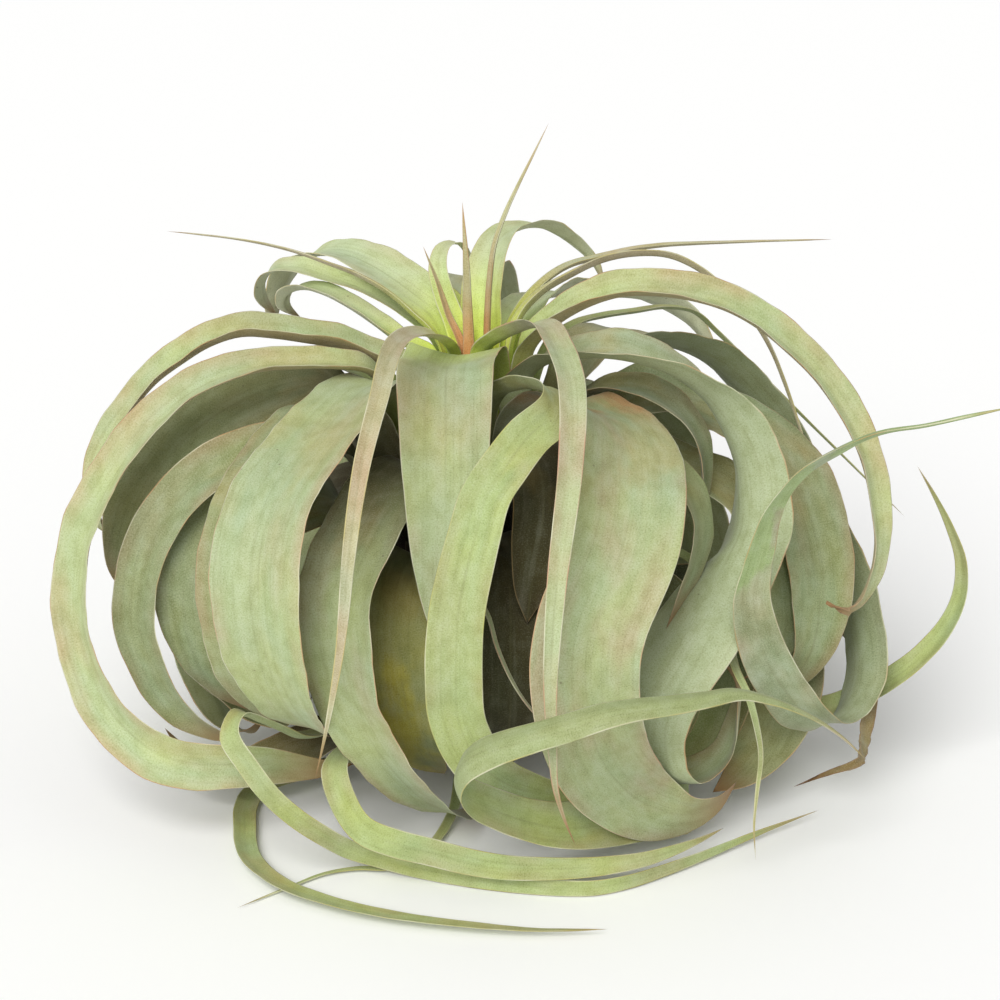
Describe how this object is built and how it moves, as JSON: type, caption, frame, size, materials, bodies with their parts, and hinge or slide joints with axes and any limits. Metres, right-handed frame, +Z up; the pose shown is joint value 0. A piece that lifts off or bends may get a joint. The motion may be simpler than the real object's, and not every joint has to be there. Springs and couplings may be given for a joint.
{
  "type": "air plant",
  "caption": "Large free-standing rosette of broad silvery leaves that arch out, fall and curl, on a short woody stem with a flat foot.",
  "frame": {"origin": "middle of the stem's flat foot, on the surface the plant rests on", "axes": "+Z up along the stem; the side seen in the picture faces -Y"},
  "size_m": [0.3628, 0.3426, 0.267],
  "materials": {
    "stem": "rough woody stem with old leaf scars",
    "young_leaf": "matte, bright yellow-green, faint silver scurf",
    "leaf": "matte, powdery silver-green scurf",
    "old_leaf": "matte, grey-green scurf",
    "dry_leaf": "matte, dried tan-brown"
  },
  "bodies": {
    "root": {"stem": "stem", "spike_tall": "young_leaf", "spike_mid": "young_leaf", "spike_short": "young_leaf", "inner_hook": "young_leaf", "inner_back": "young_leaf", "back_broad": "young_leaf", "arm_long_right": "young_leaf", "arm_drop_right": "young_leaf", "arch_right": "leaf", "sweep_right": "old_leaf", "layer_right": "old_leaf", "inner_right": "old_leaf", "curl_right": "leaf", "broad_front_right": "leaf", "hang_right": "young_leaf", "broad_front": "leaf", "ribbon_front": "leaf", "tail_cross": "old_leaf", "broad_front_left": "leaf", "layer_front_left": "old_leaf", "under_front_left": "leaf", "hang_left": "young_leaf", "arch_left_high": "leaf", "loop_left": "leaf", "deep_left": "old_leaf", "cup_left": "old_leaf", "round_left": "old_leaf", "curl_low_left": "old_leaf", "trail_front_a": "old_leaf", "trail_front_b": "old_leaf", "trail_front_c": "old_leaf", "trail_front_d": "old_leaf", "trail_right": "old_leaf", "thin_back_right": "old_leaf", "under_right": "old_leaf", "hang_low_right": "old_leaf", "dry_tip_right": "dry_leaf", "inner_front_a": "old_leaf", "inner_front_b": "old_leaf", "inner_front_c": "young_leaf", "inner_front_d": "old_leaf", "inner_right_a": "old_leaf", "inner_right_b": "old_leaf", "nest_right_a": "old_leaf", "nest_right_b": "old_leaf", "crown_left_broad": "young_leaf", "crown_left_pink": "young_leaf", "crown_left_hook": "young_leaf", "crown_left_low": "young_leaf", "low_left": "old_leaf", "rear_01": "old_leaf", "rear_02": "old_leaf", "rear_03": "old_leaf", "rear_04": "old_leaf", "rear_05": "old_leaf", "rear_06": "old_leaf", "rear_07": "old_leaf", "rear_08": "old_leaf", "rear_09": "old_leaf"}
  },
  "joints": []
}
